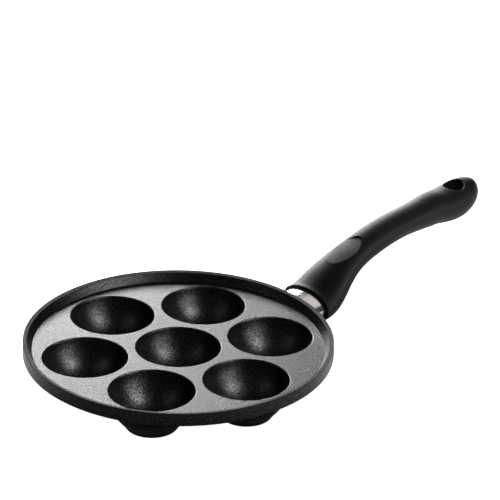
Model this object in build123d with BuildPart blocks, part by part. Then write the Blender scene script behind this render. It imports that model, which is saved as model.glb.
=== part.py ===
from build123d import *
from math import cos, radians, sin
import os

os.makedirs("parts", exist_ok=True)

# Lengths are millimetres and angles are degrees. The origin is on the axis of the middle well,
# in the plane of the feet. Z points up, and X points along the handle.

# Wells, their bowls and feet
outer_well_count = 6
well_mouth_diameter = 57.0
well_gap = 7.2
well_depth = 23.0
well_lip_round = 1.1
bowl_wall = 1.2
bowl_knee_out_share = 0.63
bowl_knee_up_share = 0.44
bowl_root_round = 1.5
foot_diameter = 34.0
foot_top_diameter = 40.2
foot_height = 4.4
foot_floor = 3.4
foot_round = 1.2

# Cast plate and rim
plate_thickness = 3.3
plate_edge_land = 5.6
rim_height = 9.2
rim_flare = 0.2
rim_lip = 2.6
rim_fall = 0.5
rim_inner_run = 3.4
rim_crest_inner_share = 0.14
rim_crest_outer_share = 0.24
rim_foot_round = 0.6
rim_inner_fillet = 1.5

# Lug that carries the handle
grip_axis_height = 15.6
lug_gap = 0.9
lug_flange_depth = 5.0
lug_rib_width = 20.0
lug_rib_reach = 33.0
tongue_width = 22.0
tongue_height = 10.0
tongue_length = 26.0
tongue_corner = 3.0

# Steel heat guard between rim and handle
guard_width = 37.6
guard_height = 19.6
guard_wall = 0.8
guard_show = 19.1
guard_seat_depth = 2.5

# Handle moulding
grip_length = 147.5
grip_rise = 30.4
tip_length = 27.7
tip_tilt = 8.5
tip_lift = 2.2
collar_wall = 2.85
neck_width = 24.6
neck_height = 18.6
bulb_width = 31.6
bulb_height = 24.5
collar_edge_round = 0.6

# Hang hole near the handle's end
hang_hole_diameter = 14.6
hang_hole_end_wall = 14.8
hang_hole_round = 0.8

# Oval thumb pad let into the top of the handle
pad_length = 32.2
pad_width = 16.8
pad_thickness = 1.4
pad_reach_share = 0.26
pad_rise_share = 0.626
pad_lift = 9.3
pad_tilt = 17.8
pad_gap = 0.1
pad_edge_round = 0.5

# Screw and its washers
screw_diameter = 6.0
screw_length = 30.0
screw_head_diameter = 10.0
screw_head_height = 3.9
screw_slot_width = 1.6
screw_slot_depth = 2.0
flat_washer_diameter = 11.0
flat_washer_thickness = 1.6
lock_washer_diameter = 9.9
lock_washer_thickness = 1.6
lock_washer_gap = 1.4
lock_washer_gap_tilt = 25.0
tapped_hole_spare = 2.4
screw_seat_wall = 5.4
seat_bore_length = 28.0

# Clearances and the overrun of cuts
thread_gap = 0.05
shank_gap = 0.3
washer_gap = 0.2
seat_gap = 0.8
tongue_gap = 0.25
guard_gap = 0.2
overrun = 2.0

# Places and sizes that follow
bowl_diameter = well_mouth_diameter + 2 * bowl_wall
well_ring_radius = (well_mouth_diameter + well_gap) / (2 * sin(radians(180 / outer_well_count)))
well_radius = (well_mouth_diameter**2 / 4 + well_depth**2) / (2 * well_depth)
plate_top = well_depth + foot_floor
plate_bottom = plate_top - plate_thickness
rim_top = plate_bottom + rim_height
well_centre_height = foot_floor + well_radius
bowl_knee_radius = foot_top_diameter / 2 + (bowl_diameter - foot_top_diameter) / 2 * bowl_knee_out_share
bowl_knee_height = foot_height + (plate_bottom - foot_height) * bowl_knee_up_share
pan_radius = (
    well_ring_radius + well_mouth_diameter / 2 + plate_edge_land + rim_inner_run + rim_lip + rim_flare
)
lug_face = pan_radius + lug_gap
handle_front = lug_face + guard_show
tongue_end = lug_face + tongue_length
screw_seat = tongue_end + tongue_gap + screw_seat_wall
lock_washer_seat = screw_seat + flat_washer_thickness
screw_head_seat = lock_washer_seat + lock_washer_thickness
washer_bore = screw_diameter + 2 * washer_gap
seat_bore_diameter = flat_washer_diameter + 2 * seat_gap
lock_washer_middle = (lock_washer_seat + lock_washer_thickness / 2, 0, grip_axis_height)
collar_width = guard_width + 2 * collar_wall
collar_height = guard_height + 2 * collar_wall
grip_axis = Plane(origin=(0, 0, grip_axis_height), x_dir=(0, 1, 0), z_dir=(1, 0, 0))

# Sections of the handle: share of the grip's length, share of its rise, tilt in degrees, and how
# far the width and the height have gone from the neck's to the collar's
front_section_shares = [
    (0.000, 0.000, 0.0, 1.00, 1.00),
    (0.092, 0.126, 31.0, 0.88, 0.84),
    (0.186, 0.448, 33.0, 0.51, 0.43),
    (0.288, 0.694, 21.0, 0.17, 0.07),
    (0.424, 0.883, 12.0, 0.04, 0.00),
    (0.614, 1.012, 4.0, 0.00, 0.00),
]
# The same behind the neck, from the neck's width and height to the bulb's
rear_section_shares = [
    (0.817, 1.034, 0.0, 0.43, 0.43),
    (0.922, 1.012, -1.0, 0.80, 0.83),
    (1.000, 1.000, tip_tilt, 1.00, 1.00),
]
# The tip shrinks over these angles of a quarter turn, its height more slowly than its width
tip_angles = (25.0, 50.0, 72.0)
tip_height_power = 2.5


def at_reach(reach):
    """Plane square to the lug's axis at a distance from the pan's centre."""
    return grip_axis.offset(reach)


def well_spots(height):
    """Places on the axes of all wells, at a height above the feet."""
    step = 360 / outer_well_count
    angles = [step * (turn + 0.5) for turn in range(outer_well_count)]
    ring = [(well_ring_radius * cos(radians(a)), well_ring_radius * sin(radians(a)), height) for a in angles]
    return Locations((0, 0, height), *ring)


def near(value, target):
    """True when two lengths differ by less than a thousandth of the plate's thickness."""
    return abs(value - target) < plate_thickness / 1000


# Outside of one bowl: a flat foot with drafted sides, then a round side up into the plate
with BuildPart() as bowl_form:
    with BuildSketch(Plane.XZ):
        with BuildLine():
            Polyline(
                (0, plate_top - plate_thickness / 2),
                (0, 0),
                (foot_diameter / 2, 0),
                (foot_top_diameter / 2, foot_height),
            )
            ThreePointArc(
                (foot_top_diameter / 2, foot_height),
                (bowl_knee_radius, bowl_knee_height),
                (bowl_diameter / 2, plate_bottom),
            )
            Polyline(
                (bowl_diameter / 2, plate_bottom),
                (bowl_diameter / 2, plate_top - plate_thickness / 2),
                (0, plate_top - plate_thickness / 2),
            )
        make_face()
        fillet(vertices().filter_by(lambda corner: near(corner.X, foot_diameter / 2)), foot_round)
    revolve(axis=Axis.Z)


# Pan body: plate and rim are one turned outline
with BuildPart() as pan_body:
    with BuildSketch(Plane.XZ):
        with BuildLine():
            Polyline(
                (0, plate_bottom),
                (pan_radius, plate_bottom),
                (pan_radius - rim_flare, rim_top),
                (pan_radius - rim_flare - rim_lip, rim_top - rim_fall),
                (pan_radius - rim_flare - rim_lip - rim_inner_run, plate_top),
                (0, plate_top),
                close=True,
            )
        make_face()
        rim_corners = vertices().filter_by(lambda corner: corner.X > pan_radius / 2)
        crest_inner, crest_outer = rim_corners.sort_by(Axis.Z)[-2:]
        fillet(crest_inner, rim_lip * rim_crest_inner_share)
        fillet(crest_outer, rim_lip * rim_crest_outer_share)
        fillet(vertices().filter_by(lambda corner: near(corner.X, pan_radius)), rim_foot_round)
        inner_corner = rim_corners.filter_by(lambda corner: near(corner.Z, plate_top))
        fillet(inner_corner, rim_inner_fillet)
    revolve(axis=Axis.Z)

    # A bowl under each well, rounded into the plate
    with well_spots(0):
        add(bowl_form.part)
    fillet(
        edges()
        .filter_by(GeomType.CIRCLE)
        .filter_by(lambda rim: near(rim.center().Z, plate_bottom) and near(rim.radius, bowl_diameter / 2)),
        bowl_root_round,
    )

    # Rib and seat flange of the lug
    with BuildSketch(at_reach(lug_face)):
        Ellipse(guard_width / 2, guard_height / 2)
    extrude(amount=-lug_flange_depth)
    with BuildSketch(at_reach(lug_face - lug_rib_reach)):
        with Locations((0, -guard_height / 2)):
            Rectangle(
                lug_rib_width,
                plate_top - plate_thickness / 2 - grip_axis_height + guard_height / 2,
                align=(Align.CENTER, Align.MIN),
            )
    extrude(amount=lug_rib_reach - lug_flange_depth)

    with well_spots(well_centre_height):
        Sphere(well_radius, mode=Mode.SUBTRACT)
    fillet(
        edges()
        .filter_by(GeomType.CIRCLE)
        .filter_by(lambda rim: near(rim.center().Z, plate_top) and near(rim.radius, well_mouth_diameter / 2)),
        well_lip_round,
    )

    # Tongue inside the guard and the handle, tapped from its end
    with BuildSketch(at_reach(lug_face)):
        RectangleRounded(tongue_width, tongue_height, tongue_corner)
    extrude(amount=tongue_length)
    with BuildSketch(at_reach(tongue_end)):
        Circle(screw_diameter / 2 + thread_gap)
    extrude(
        amount=-(tongue_end - screw_head_seat + screw_length + tapped_hole_spare),
        mode=Mode.SUBTRACT,
    )
pan_body.part.label = "pan_body"
export_step(pan_body.part, "parts/pan_body.step")


# Heat guard: a thin oval sleeve that hides the tongue
with BuildPart() as heat_guard:
    with BuildSketch(at_reach(lug_face)):
        Ellipse(guard_width / 2, guard_height / 2)
        Ellipse(guard_width / 2 - guard_wall, guard_height / 2 - guard_wall, mode=Mode.SUBTRACT)
    extrude(amount=guard_show + guard_seat_depth)
heat_guard.part.label = "heat_guard"
export_step(heat_guard.part, "parts/heat_guard.step")


def grip_section(reach, rise, tilt, width, height):
    """One oval section of the handle, square to its own direction."""
    direction = (cos(radians(tilt)), 0, sin(radians(tilt)))
    centre = (handle_front + reach, 0, grip_axis_height + rise)
    with BuildSketch(Plane(origin=centre, x_dir=(0, 1, 0), z_dir=direction)) as section:
        Ellipse(width / 2, height / 2)
    return section.sketch


def body_sections(shares, end_width, end_height):
    """Sections along the grip, between the neck's size and the size at one end."""
    sections = []
    for reach_share, rise_share, tilt, width_share, height_share in shares:
        width = neck_width + (end_width - neck_width) * width_share
        height = neck_height + (end_height - neck_height) * height_share
        sections.append(grip_section(grip_length * reach_share, grip_rise * rise_share, tilt, width, height))
    return sections


def tip_place(share):
    """Reach and rise of the middle of the tip, at a share of its length."""
    reach = grip_length + tip_length * share * cos(radians(tip_tilt))
    rise = grip_rise + tip_length * share * sin(radians(tip_tilt)) + tip_lift * share**2
    return reach, rise


def tip_sections():
    """Sections that close the handle's end like half an egg, then its point."""
    sections = []
    for angle in tip_angles:
        share = sin(radians(angle))
        width = bulb_width * cos(radians(angle))
        height = bulb_height * (1 - share**tip_height_power) ** (1 / tip_height_power)
        sections.append(grip_section(*tip_place(share), tip_tilt, width, height))
    reach, rise = tip_place(1)
    return [*sections, Vertex(handle_front + reach, 0, grip_axis_height + rise)]


pad_plane = Plane(
    origin=(
        handle_front + grip_length * pad_reach_share,
        0,
        grip_axis_height + grip_rise * pad_rise_share + pad_lift,
    ),
    x_dir=(0, 1, 0),
    z_dir=(-sin(radians(pad_tilt)), 0, cos(radians(pad_tilt))),
)

# Handle: one moulding lofted through its sections
with BuildPart() as handle_grip:
    loft(
        sections=[
            *body_sections(front_section_shares, collar_width, collar_height),
            *body_sections(rear_section_shares, bulb_width, bulb_height),
            *tip_sections(),
        ]
    )
    fillet(faces().sort_by(Axis.X)[0].edges(), collar_edge_round)

    # Oval recess on top for the thumb, which holds the pad
    with BuildSketch(pad_plane.offset(-pad_thickness)):
        Ellipse(pad_width / 2 + pad_gap, pad_length / 2 + pad_gap)
    extrude(amount=bulb_height, mode=Mode.SUBTRACT)

    # Seat of the heat guard, socket of the tongue, and the screw's way in from below
    with BuildSketch(at_reach(handle_front)):
        Ellipse(guard_width / 2 + guard_gap, guard_height / 2 + guard_gap)
    extrude(amount=guard_seat_depth, mode=Mode.SUBTRACT)
    with BuildSketch(at_reach(handle_front)):
        RectangleRounded(
            tongue_width + 2 * tongue_gap,
            tongue_height + 2 * tongue_gap,
            tongue_corner + tongue_gap,
        )
    extrude(amount=tongue_end + tongue_gap - handle_front, mode=Mode.SUBTRACT)
    with BuildSketch(at_reach(handle_front)):
        Circle(screw_diameter / 2 + shank_gap)
    extrude(amount=screw_seat - handle_front, mode=Mode.SUBTRACT)
    with BuildSketch(at_reach(screw_seat)):
        Circle(seat_bore_diameter / 2)
    extrude(amount=seat_bore_length, mode=Mode.SUBTRACT)

    # Hang hole, straight down through the bulb
    with BuildSketch(Plane.XY):
        with Locations((handle_front + tip_place(1)[0] - hang_hole_end_wall - hang_hole_diameter / 2, 0)):
            Circle(hang_hole_diameter / 2)
    extrude(amount=grip_axis_height + grip_rise + bulb_height, mode=Mode.SUBTRACT)
    fillet(edges(Select.NEW), hang_hole_round)
handle_grip.part.label = "handle_grip"
export_step(handle_grip.part, "parts/handle_grip.step")


# Thumb pad: an oval plate that fills the recess's floor, with a soft edge
with BuildPart() as thumb_pad:
    with BuildSketch(pad_plane.offset(-pad_thickness)):
        Ellipse(pad_width / 2, pad_length / 2)
    extrude(amount=pad_thickness)
    fillet(faces().sort_by(Axis.Z)[-1].edges(), pad_edge_round)
thumb_pad.part.label = "thumb_pad"
export_step(thumb_pad.part, "parts/thumb_pad.step")


# Handle screw, slotted cheese head
with BuildPart() as handle_screw:
    with BuildSketch(at_reach(screw_head_seat)):
        Circle(screw_head_diameter / 2)
    extrude(amount=screw_head_height)
    with BuildSketch(at_reach(screw_head_seat + screw_head_height)):
        Rectangle(screw_slot_width, screw_head_diameter + overrun)
    extrude(amount=-screw_slot_depth, mode=Mode.SUBTRACT)
    with BuildSketch(at_reach(screw_head_seat)):
        Circle(screw_diameter / 2)
    extrude(amount=-screw_length)
handle_screw.part.label = "handle_screw"
export_step(handle_screw.part, "parts/handle_screw.step")


# Flat washer on the floor of the seat bore
with BuildPart() as flat_washer:
    with BuildSketch(at_reach(screw_seat)):
        Circle(flat_washer_diameter / 2)
        Circle(washer_bore / 2, mode=Mode.SUBTRACT)
    extrude(amount=flat_washer_thickness)
flat_washer.part.label = "flat_washer"
export_step(flat_washer.part, "parts/flat_washer.step")


# Split lock washer under the head
with BuildPart() as lock_washer:
    with BuildSketch(at_reach(lock_washer_seat)):
        Circle(lock_washer_diameter / 2)
        Circle(washer_bore / 2, mode=Mode.SUBTRACT)
    extrude(amount=lock_washer_thickness)
    with BuildSketch(Plane(origin=lock_washer_middle, x_dir=(1, 0, 0), z_dir=(0, 0, 1))):
        Rectangle(lock_washer_thickness + 2 * overrun, lock_washer_gap, rotation=lock_washer_gap_tilt)
    extrude(amount=lock_washer_diameter, mode=Mode.SUBTRACT)
lock_washer.part.label = "lock_washer"
export_step(lock_washer.part, "parts/lock_washer.step")
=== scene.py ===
# %% [markdown]
# # A pan for round pancakes, dressed around its CAD solids
#
# The pan is one aluminium casting under a dark nonstick coating, with seven round wells, a low rim
# and a flat foot under each bowl. A polished steel sleeve joins it to a black moulded handle, which
# has a matt oval thumb pad and a hang hole. The solids come ready made and at their real size, so
# this file only finishes their surfaces, sets the light and places the camera.

# %% Load the solids and keep their box
import math

import bpy
from mathutils import Matrix, Vector


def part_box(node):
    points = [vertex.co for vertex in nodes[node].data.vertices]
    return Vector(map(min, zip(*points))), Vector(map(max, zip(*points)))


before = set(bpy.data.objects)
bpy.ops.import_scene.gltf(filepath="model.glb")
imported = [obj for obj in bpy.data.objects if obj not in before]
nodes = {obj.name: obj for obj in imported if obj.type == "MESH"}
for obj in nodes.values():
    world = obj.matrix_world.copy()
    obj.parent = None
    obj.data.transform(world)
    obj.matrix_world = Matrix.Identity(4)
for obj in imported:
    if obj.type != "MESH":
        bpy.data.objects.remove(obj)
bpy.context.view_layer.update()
print("solids:", ", ".join(sorted(nodes)))

MM = 0.001


# %% [markdown]
# ## The camera
#
# The photograph was taken from far away with a long lens, so the pan's circles are nearly true
# ellipses. The angles below were found by matching those ellipses. A look-at constraint could aim
# the camera, but an angle, a height and a small roll say the same in numbers that can be read.


# %% Place the camera
camera_azimuth = math.radians(-135.97)
camera_elevation = math.radians(25.944)
camera_roll = math.radians(1.113)
camera_place = Vector((-1.3833, -1.4028, 1.0575))
camera_lens_mm = 238.31
sensor_width_mm = 36.0
half_pixel_shift = 0.001


def direction(azimuth, elevation):
    """Unit vector from the pan towards an azimuth and an elevation, both in radians."""
    flat = math.cos(elevation)
    return Vector((flat * math.cos(azimuth), flat * math.sin(azimuth), math.sin(elevation)))


camera_data = bpy.data.cameras.new("studio_camera")
camera = bpy.data.objects.new("studio_camera", camera_data)
bpy.context.scene.collection.objects.link(camera)
towards_camera = direction(camera_azimuth, camera_elevation)
turn = towards_camera.to_track_quat("Z", "Y").to_matrix() @ Matrix.Rotation(camera_roll, 3, "Z")
camera.matrix_world = Matrix.Translation(camera_place) @ turn.to_4x4()
camera_data.lens = camera_lens_mm
camera_data.sensor_width = sensor_width_mm
camera_data.shift_x = -half_pixel_shift
camera_data.shift_y = half_pixel_shift
bpy.context.scene.camera = camera
print("camera looks from", [round(v, 3) for v in towards_camera])


# %% [markdown]
# ## The studio lamps
#
# A dark satin pan shows almost nothing but its lights, so each form is given a lamp of its own.
# The broad pan_panel hangs low behind the pan. The flat plate mirrors it and looks pale, while the
# wells turn away from it and look black. Two small panels beside it reach the rounded lips of the
# wells. From the right, key_box puts one soft spot in each well and rim_strip lights the rim's inner
# wall. The handle and its sleeve have panels, a strip and a fill of their own. One large dome could
# light everything, but a dome has no edges, and the edges of the lamps are what draws this shape.
# Some lamps are very slightly rosy, as the photograph's own darks are.


# %% A softbox
white = (1.0, 1.0, 1.0)
rosy = (1.0, 0.94, 0.955)
usual_distance = 1.2
table_distance = 1.5


def softbox(name, azimuth, elevation, width, height, radiance, distance=usual_distance, tint=white):
    """Rectangular lamp that faces the pan, as bright as the radiance asks whatever its size.

    The angles are in degrees and the lengths in metres.
    """
    lamp = bpy.data.lights.new(name, "AREA")
    lamp.shape = "RECTANGLE"
    lamp.size = width
    lamp.size_y = height
    lamp.energy = radiance * math.pi * width * height
    lamp.color = tint
    holder = bpy.data.objects.new(name, lamp)
    bpy.context.scene.collection.objects.link(holder)
    towards = direction(math.radians(azimuth), math.radians(elevation))
    facing = towards.to_track_quat("Z", "Y").to_matrix().to_4x4()
    holder.matrix_world = Matrix.Translation(towards * distance) @ facing
    print(f"{name}: {width} x {height} m, {lamp.energy:.0f} W")


# %% Hang the softboxes
softbox("pan_panel", azimuth=58.3, elevation=24.0, width=0.67, height=0.38, radiance=14.7)
softbox("lip_panel", azimuth=31.0, elevation=21.0, width=0.2, height=0.14, radiance=4.0)
softbox("edge_panel", azimuth=65.0, elevation=18.0, width=0.18, height=0.14, radiance=26.0)
softbox("grip_panel", azimuth=59.0, elevation=16.0, width=0.64, height=0.55, radiance=16.0)
softbox("guard_panel", azimuth=33.0, elevation=9.0, width=0.42, height=0.22, radiance=10.0)
softbox("key_box", azimuth=-64.0, elevation=54.0, width=0.33, height=0.33, radiance=36.0)
softbox("rim_strip", azimuth=-78.0, elevation=28.0, width=0.9, height=0.28, radiance=9.0, tint=rosy)
softbox("grip_strip", azimuth=-60.0, elevation=24.0, width=0.7, height=0.3, radiance=9.5, tint=rosy)
softbox("left_panel", azimuth=142.0, elevation=46.0, width=0.4, height=0.4, radiance=1.1, distance=1.1)
softbox(
    "top_fill",
    azimuth=4.0,
    elevation=49.0,
    width=1.2,
    height=0.5,
    radiance=0.7,
    distance=1.3,
    tint=rosy,
)
softbox(
    "table_wash",
    azimuth=34.0,
    elevation=28.0,
    width=0.5,
    height=0.25,
    radiance=120.0,
    distance=table_distance,
    tint=rosy,
)
softbox(
    "table_fill",
    azimuth=-136.0,
    elevation=35.0,
    width=0.8,
    height=0.8,
    radiance=1.2,
    distance=table_distance,
)


# %% A faint even sky
sky_strength = 0.05

world = bpy.data.worlds.new("studio_sky")
bpy.context.scene.world = world
world.use_nodes = True
sky = world.node_tree.nodes["Background"]
sky.inputs["Color"].default_value = (*white, 1.0)
sky.inputs["Strength"].default_value = sky_strength
bpy.context.scene.view_settings.view_transform = "Standard"
print("sky strength", sky_strength)


# %% [markdown]
# ## The floor
#
# The pan stands on a plain pale ground without an edge. A pale plane alone would turn grey where
# the lamps don't reach, and a brighter lamp would flood the pan from below. So the plane also glows,
# but only for the camera: Light Path tells a ray from the camera from a ray that lights the pan.


# %% Lay the floor
floor_size = 6.0
floor_albedo = 0.8
floor_roughness = 0.9
floor_glow = 1.0


def build_floor_paint():
    """Matt pale paint with a glow that only the camera sees."""
    paint = bpy.data.materials.new("floor_paint")
    paint.use_nodes = True
    tree = paint.node_tree
    shader = tree.nodes["Principled BSDF"]
    shader.inputs["Base Color"].default_value = (floor_albedo, floor_albedo, floor_albedo, 1.0)
    shader.inputs["Roughness"].default_value = floor_roughness
    seen = tree.nodes.new("ShaderNodeLightPath")
    glow = tree.nodes.new("ShaderNodeEmission")
    glow.inputs["Strength"].default_value = floor_glow
    no_glow = tree.nodes.new("ShaderNodeEmission")
    no_glow.inputs["Strength"].default_value = 0.0
    only_seen = tree.nodes.new("ShaderNodeMixShader")
    tree.links.new(seen.outputs["Is Camera Ray"], only_seen.inputs[0])
    tree.links.new(no_glow.outputs[0], only_seen.inputs[1])
    tree.links.new(glow.outputs[0], only_seen.inputs[2])
    both = tree.nodes.new("ShaderNodeAddShader")
    tree.links.new(shader.outputs[0], both.inputs[0])
    tree.links.new(only_seen.outputs[0], both.inputs[1])
    tree.links.new(both.outputs[0], tree.nodes["Material Output"].inputs["Surface"])
    return paint


bpy.ops.mesh.primitive_plane_add(size=floor_size)
floor = bpy.context.object
floor.name = "floor"
floor.data.materials.append(build_floor_paint())
print("floor", floor_size, "m square")


# %% [markdown]
# ## Which lamp lights which piece
#
# A photographer keeps a lamp off a piece with a grid or a black flag. Blender can do it with light
# linking: a lamp gets a collection of the objects that it may light. Real flags could be modelled
# instead, but they would show up in the polished sleeve.


# %% Keep the lamps to their pieces
def light_only(lamp_names, *lit):
    """Keeps lamps to the pieces given, as a grid and flags would."""
    group = bpy.data.collections.new("lit by " + lamp_names[0])
    for piece in lit:
        group.objects.link(piece)
    for lamp_name in lamp_names:
        bpy.data.objects[lamp_name].light_linking.receiver_collection = group
    print(", ".join(lamp_names), "light only", ", ".join(piece.name for piece in lit))


handle_nodes = [node for name, node in nodes.items() if name != "pan_body"]
light_only(("pan_panel", "lip_panel", "edge_panel", "key_box", "rim_strip"), nodes["pan_body"])
light_only(("grip_panel", "guard_panel", "top_fill"), *handle_nodes)
light_only(("grip_strip",), nodes["handle_grip"], nodes["thumb_pad"])
light_only(("left_panel",), nodes["pan_body"], nodes["handle_grip"], nodes["thumb_pad"])
light_only(("table_wash", "table_fill"), floor)


# %% [markdown]
# ## Helpers for materials
#
# Every finish here is built from nodes. The helpers keep the wiring short: they make a node and set
# its values, start or place a shared group, turn a mask into a colour, a number or a bump, and give
# a finish to a solid.


# %% Helpers that make nodes
def add_node(tree, kind, values=None, **settings):
    """New node in a tree, with its plain settings and the values of its unlinked inputs."""
    node = tree.nodes.new(kind)
    for key, value in settings.items():
        setattr(node, key, value)
    for key, value in (values or {}).items():
        node.inputs[key].default_value = value
    return node


def start_group(name, inputs, outputs):
    """Shared node group with named number sockets, and its two end nodes."""
    group = bpy.data.node_groups.new(name, "ShaderNodeTree")
    for label, start in inputs.items():
        socket = group.interface.new_socket(label, in_out="INPUT", socket_type="NodeSocketFloat")
        socket.default_value = start
    for label in outputs:
        group.interface.new_socket(label, in_out="OUTPUT", socket_type="NodeSocketFloat")
    return group, group.nodes.new("NodeGroupInput"), group.nodes.new("NodeGroupOutput")


def place_group(tree, group, values):
    """One use of a shared group in a material, with that material's own values."""
    return add_node(tree, "ShaderNodeGroup", values, node_tree=group)


print("node helpers ready")


# %% Helpers that turn a mask into something
def mix_colours(tree, mask, low, high):
    """Colour that goes from one value to another with a mask."""
    mixer = add_node(tree, "ShaderNodeMix", data_type="RGBA")
    mixer.inputs["A"].default_value = (*low, 1.0)
    mixer.inputs["B"].default_value = (*high, 1.0)
    tree.links.new(mask, mixer.inputs["Factor"])
    return mixer.outputs["Result"]


def spread(tree, mask, low, high):
    """Number that goes from one value to another with a mask."""
    ranger = add_node(tree, "ShaderNodeMapRange", {"To Min": low, "To Max": high})
    tree.links.new(mask, ranger.inputs["Value"])
    return ranger.outputs["Result"]


def add_bump(tree, mask, strength, depth, under=None, **settings):
    """Normal that follows a mask as a height, laid over another normal where one is given."""
    bump = add_node(tree, "ShaderNodeBump", {"Strength": strength, "Distance": depth}, **settings)
    tree.links.new(mask, bump.inputs["Height"])
    if under is not None:
        tree.links.new(under, bump.inputs["Normal"])
    return bump.outputs["Normal"]


print("mask helpers ready")


# %% Helpers that start a finish and give it to a solid
def new_finish(name):
    """Material with its tree, its shader and an Object coordinate output ready to wire."""
    finish = bpy.data.materials.new(name)
    finish.use_nodes = True
    tree = finish.node_tree
    place = add_node(tree, "ShaderNodeTexCoord")
    return finish, tree, tree.nodes["Principled BSDF"], place.outputs["Object"]


def dress(node_name, finish):
    """Gives a solid its finish and keeps its mesh as it is."""
    solid = nodes[node_name]
    solid.data.materials.clear()
    solid.data.materials.append(finish)
    print(f"{node_name}: {finish.name}, {len(solid.data.polygons)} faces")


print("finish helpers ready")


# %% [markdown]
# ## Two effects that several finishes share
#
# Cast and moulded surfaces are never quite even. "Fine grain" is the small pebbling that a sprayed
# coating or a spark-eroded mould leaves, and "handling" is the slow change in gloss that wiping and
# touching leave. Painted images could do this, but noise has no seams and no resolution.


# %% Shared group for fine grain
fleck_from = 0.35
fleck_to = 0.65
flecks_per_pebble = 1.4


def build_fine_grain():
    """Pebbled height and a speckle mask, at a grain size given in millimetres."""
    group, start, end = start_group(
        "fine grain", {"Grain mm": 0.6, "Speckle": 0.5}, ("Height", "Speckle")
    )
    place = add_node(group, "ShaderNodeTexCoord")
    per_metre = add_node(group, "ShaderNodeMath", {0: 1.0 / MM}, operation="DIVIDE")
    group.links.new(start.outputs["Grain mm"], per_metre.inputs[1])
    pebble = add_node(group, "ShaderNodeTexNoise", {"Detail": 3.0, "Roughness": 0.6})
    group.links.new(place.outputs["Object"], pebble.inputs["Vector"])
    group.links.new(per_metre.outputs[0], pebble.inputs["Scale"])
    finer = add_node(group, "ShaderNodeMath", {1: flecks_per_pebble}, operation="MULTIPLY")
    group.links.new(per_metre.outputs[0], finer.inputs[0])
    cell = add_node(group, "ShaderNodeTexNoise", {"Detail": 1.0, "Roughness": 0.5})
    group.links.new(place.outputs["Object"], cell.inputs["Vector"])
    group.links.new(finer.outputs[0], cell.inputs["Scale"])
    fleck = add_node(group, "ShaderNodeMapRange", {"From Min": fleck_from, "From Max": fleck_to})
    group.links.new(cell.outputs["Fac"], fleck.inputs["Value"])
    amount = add_node(group, "ShaderNodeMath", operation="MULTIPLY")
    group.links.new(fleck.outputs["Result"], amount.inputs[0])
    group.links.new(start.outputs["Speckle"], amount.inputs[1])
    group.links.new(pebble.outputs["Fac"], end.inputs["Height"])
    group.links.new(amount.outputs[0], end.inputs["Speckle"])
    return group


fine_grain = build_fine_grain()
print("group:", fine_grain.name)


# %% Shared group for handling
mid_grey = 0.5


def build_handling():
    """Slow patches of more and less gloss, at a patch size given in millimetres."""
    group, start, end = start_group("handling", {"Patch mm": 30.0, "Contrast": 1.0}, ("Patches",))
    place = add_node(group, "ShaderNodeTexCoord")
    per_metre = add_node(group, "ShaderNodeMath", {0: 1.0 / MM}, operation="DIVIDE")
    group.links.new(start.outputs["Patch mm"], per_metre.inputs[1])
    cloud = add_node(
        group, "ShaderNodeTexNoise", {"Detail": 4.0, "Roughness": 0.55, "Distortion": 0.4}
    )
    group.links.new(place.outputs["Object"], cloud.inputs["Vector"])
    group.links.new(per_metre.outputs[0], cloud.inputs["Scale"])
    centred = add_node(group, "ShaderNodeMath", {1: mid_grey}, operation="SUBTRACT")
    group.links.new(cloud.outputs["Fac"], centred.inputs[0])
    stretched = add_node(
        group, "ShaderNodeMath", {2: mid_grey}, operation="MULTIPLY_ADD", use_clamp=True
    )
    group.links.new(centred.outputs[0], stretched.inputs[0])
    group.links.new(start.outputs["Contrast"], stretched.inputs[1])
    group.links.new(stretched.outputs[0], end.inputs["Patches"])
    return group


handling = build_handling()
print("group:", handling.name)


# %% [markdown]
# ## Nonstick coating on the casting
#
# The real coating is sprayed on and baked: nearly black, satin, and speckled with fine metal flakes.
# What shows is mostly its reflection of the panels. It could be a plain black plastic, but the flakes
# are what makes the plate so pale, so most of the shader is metal of a very dark colour with paler
# flecks. A small pebbled bump breaks the reflection into grain. The rim's crest is duller, where pans
# are stacked and lids are laid.


# %% Coat the casting
coat_dark = (0.008, 0.008, 0.0082)
coat_fleck = (0.043, 0.043, 0.043)
coat_smoothest = 0.26
coat_roughest = 0.31
coat_pebble_depth = 0.24 * MM
coat_ior = 1.38
coat_metal_share = 0.93
crest_start = 31.3 * MM
crest_full = 31.7 * MM
crest_dulling = 0.36


def build_coating():
    """Dark speckled nonstick coating, duller on the rim's crest."""
    finish, tree, shader, place = new_finish("nonstick_coating")
    grain = place_group(tree, fine_grain, {"Grain mm": 1.2, "Speckle": 1.0})
    touch = place_group(tree, handling, {"Patch mm": 24.0, "Contrast": 1.6})
    colour = mix_colours(tree, grain.outputs["Speckle"], coat_dark, coat_fleck)
    tree.links.new(colour, shader.inputs["Base Color"])
    spot = add_node(tree, "ShaderNodeSeparateXYZ")
    tree.links.new(place, spot.inputs[0])
    crest_range = {"From Min": crest_start, "From Max": crest_full, "To Max": crest_dulling}
    crest = add_node(tree, "ShaderNodeMapRange", crest_range)
    tree.links.new(spot.outputs["Z"], crest.inputs["Value"])
    satin = spread(tree, touch.outputs["Patches"], coat_smoothest, coat_roughest)
    duller = add_node(tree, "ShaderNodeMath", operation="ADD")
    tree.links.new(satin, duller.inputs[0])
    tree.links.new(crest.outputs["Result"], duller.inputs[1])
    tree.links.new(duller.outputs[0], shader.inputs["Roughness"])
    pebbles = add_bump(tree, grain.outputs["Height"], 1.0, coat_pebble_depth)
    tree.links.new(pebbles, shader.inputs["Normal"])
    shader.inputs["IOR"].default_value = coat_ior
    shader.inputs["Metallic"].default_value = coat_metal_share
    return finish


dress("pan_body", build_coating())


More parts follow.
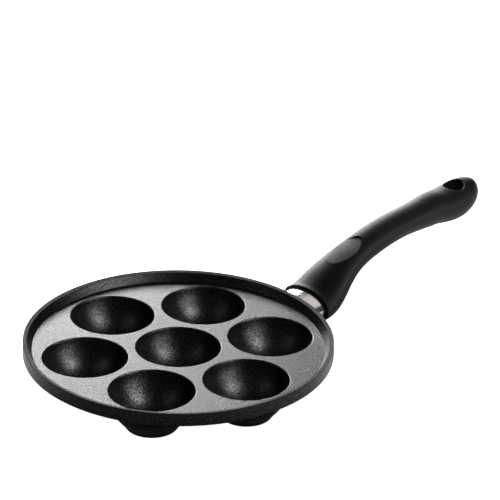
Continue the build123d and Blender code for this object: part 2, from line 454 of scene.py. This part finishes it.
# %% [markdown]
# ## Polished steel of the heat guard and the plated screw
#
# The guard is drawn tube, polished around its girth. An anisotropic shader could stretch its
# highlights, but the lines themselves are wanted too, and they run round it. So the noise is made
# short along the pan's X axis and long across it. The screw and its washers share a duller plated
# finish.


# %% Polish the guard and plate the fasteners
line_width = 0.2 * MM
line_length = 8.0 * MM
line_depth = 0.0006 * MM
line_strength = 0.1
patch_brightening = 1.08


def build_steel(name, tint, smoothest, roughest):
    """Bright steel with fine lines that run round the handle's axis."""
    finish, tree, shader, place = new_finish(name)
    lines_per_metre = (1.0 / line_width, 1.0 / line_length, 1.0 / line_length)
    squeeze = add_node(tree, "ShaderNodeMapping", {"Scale": lines_per_metre})
    tree.links.new(place, squeeze.inputs["Vector"])
    lines = add_node(tree, "ShaderNodeTexNoise", {"Scale": 1.0, "Detail": 1.0})
    tree.links.new(squeeze.outputs["Vector"], lines.inputs["Vector"])
    touch = place_group(tree, handling, {"Patch mm": 9.0, "Contrast": 1.5})
    brighter = tuple(min(1.0, part * patch_brightening) for part in tint)
    tree.links.new(mix_colours(tree, touch.outputs["Patches"], tint, brighter), shader.inputs["Base Color"])
    tree.links.new(spread(tree, lines.outputs["Fac"], smoothest, roughest), shader.inputs["Roughness"])
    ridges = add_bump(tree, lines.outputs["Fac"], line_strength, line_depth)
    tree.links.new(ridges, shader.inputs["Normal"])
    shader.inputs["Metallic"].default_value = 1.0
    return finish


polished = build_steel("polished_steel", tint=(0.80, 0.78, 0.76), smoothest=0.2, roughest=0.28)
plated = build_steel("plated_steel", tint=(0.62, 0.61, 0.57), smoothest=0.24, roughest=0.36)
dress("heat_guard", polished)
for fastener in ("handle_screw", "flat_washer", "lock_washer"):
    dress(fastener, plated)


# %% [markdown]
# ## Moulded handle
#
# The handle is black heat-resistant plastic from a finely eroded mould: satin, with a grain too
# small to count. A plain black would look like a hole in the picture, so the grain changes the
# colour a little and the handling changes the gloss.


# %% Mould the handle
moulding_dark = (0.0015, 0.0015, 0.0016)
moulding_fleck = (0.0045, 0.0045, 0.0047)
moulding_smoothest = 0.52
moulding_roughest = 0.6
moulding_grain_strength = 0.8
moulding_grain_depth = 0.1 * MM
moulding_ior = 1.36


def build_moulding():
    """Satin black moulded plastic."""
    finish, tree, shader, _ = new_finish("black_moulding")
    grain = place_group(tree, fine_grain, {"Grain mm": 0.9, "Speckle": 0.6})
    touch = place_group(tree, handling, {"Patch mm": 40.0, "Contrast": 1.4})
    colour = mix_colours(tree, grain.outputs["Speckle"], moulding_dark, moulding_fleck)
    tree.links.new(colour, shader.inputs["Base Color"])
    satin = spread(tree, touch.outputs["Patches"], moulding_smoothest, moulding_roughest)
    tree.links.new(satin, shader.inputs["Roughness"])
    pebbles = add_bump(tree, grain.outputs["Height"], moulding_grain_strength, moulding_grain_depth)
    tree.links.new(pebbles, shader.inputs["Normal"])
    shader.inputs["IOR"].default_value = moulding_ior
    return finish


dress("handle_grip", build_moulding())


# %% [markdown]
# ## Thumb pad
#
# The oval pad is matt and greyer than the handle, slightly dished, with faint curved scratches from
# thumbs and a dark joint around it. The dish and the joint both follow the oval, so one value is
# worked out for them: 0 in the middle of the pad and 1 at its edge. The scratches are rings around a
# point beside the pad. Drawn curves could do the same, but each would need a place of its own.


# %% Colours and depths of the pad
pad_low, pad_high = (Vector(corner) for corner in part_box("thumb_pad"))
pad_middle = (pad_low + pad_high) / 2
pad_half = (pad_high - pad_low) / 2
pad_dark = (0.045, 0.044, 0.045)
pad_pale = (0.095, 0.093, 0.095)
pad_joint = (0.003, 0.003, 0.003)
pad_smoothest = 0.42
pad_roughest = 0.58
joint_start = 0.95
arc_middle = (10.0 * MM, 6.0 * MM, 0.0)
arc_shape = {"Scale": 170.0, "Distortion": 3.5, "Detail": 3.0}
dish_depth = 0.7 * MM
scratch_depth = 0.05 * MM
pebble_depth = 0.06 * MM
surface_strength = 0.8
print("pad middle", [round(v, 4) for v in pad_middle])


# %% Finish the pad
def oval_outwards(tree, centred):
    """Mask that is 0 in the middle of the pad and 1 along its oval edge."""
    halves = (pad_half.x, pad_half.y, 1.0)
    oval = add_node(tree, "ShaderNodeVectorMath", {1: halves}, operation="DIVIDE")
    tree.links.new(centred, oval.inputs[0])
    squared = add_node(tree, "ShaderNodeVectorMath", operation="DOT_PRODUCT")
    tree.links.new(oval.outputs["Vector"], squared.inputs[0])
    tree.links.new(oval.outputs["Vector"], squared.inputs[1])
    return squared.outputs["Value"]


def thumb_arcs(tree, centred):
    """Mask of faint rings around a point beside the pad's middle."""
    beside = add_node(tree, "ShaderNodeVectorMath", {1: arc_middle}, operation="SUBTRACT")
    tree.links.new(centred, beside.inputs[0])
    arcs = add_node(tree, "ShaderNodeTexWave", arc_shape, wave_type="RINGS", rings_direction="SPHERICAL")
    tree.links.new(beside.outputs["Vector"], arcs.inputs["Vector"])
    return arcs.outputs["Fac"]


def build_pad():
    """Matt grey dished pad with faint arcs in its surface and a dark joint around it."""
    finish, tree, shader, place = new_finish("grey_pad")
    from_middle = add_node(tree, "ShaderNodeVectorMath", {1: tuple(pad_middle)}, operation="SUBTRACT")
    tree.links.new(place, from_middle.inputs[0])
    outwards = oval_outwards(tree, from_middle.outputs["Vector"])
    arcs = thumb_arcs(tree, from_middle.outputs["Vector"])
    grain = place_group(tree, fine_grain, {"Grain mm": 0.5, "Speckle": 1.0})
    touch = place_group(tree, handling, {"Patch mm": 7.0, "Contrast": 2.0})
    joint_range = {"From Min": joint_start, "From Max": 1.0}
    joint = add_node(tree, "ShaderNodeMapRange", joint_range, interpolation_type="SMOOTHSTEP")
    tree.links.new(outwards, joint.inputs["Value"])
    shaded = add_node(tree, "ShaderNodeMix", {"B": (*pad_joint, 1.0)}, data_type="RGBA")
    tree.links.new(joint.outputs["Result"], shaded.inputs["Factor"])
    rubber = mix_colours(tree, touch.outputs["Patches"], pad_dark, pad_pale)
    tree.links.new(rubber, shaded.inputs["A"])
    tree.links.new(shaded.outputs["Result"], shader.inputs["Base Color"])
    tree.links.new(spread(tree, arcs, pad_smoothest, pad_roughest), shader.inputs["Roughness"])
    dish = add_bump(tree, outwards, 1.0, dish_depth, invert=True)
    scratches = add_bump(tree, arcs, surface_strength, scratch_depth, under=dish)
    pebbles = add_bump(tree, grain.outputs["Height"], surface_strength, pebble_depth, under=scratches)
    tree.links.new(pebbles, shader.inputs["Normal"])
    return finish


dress("thumb_pad", build_pad())
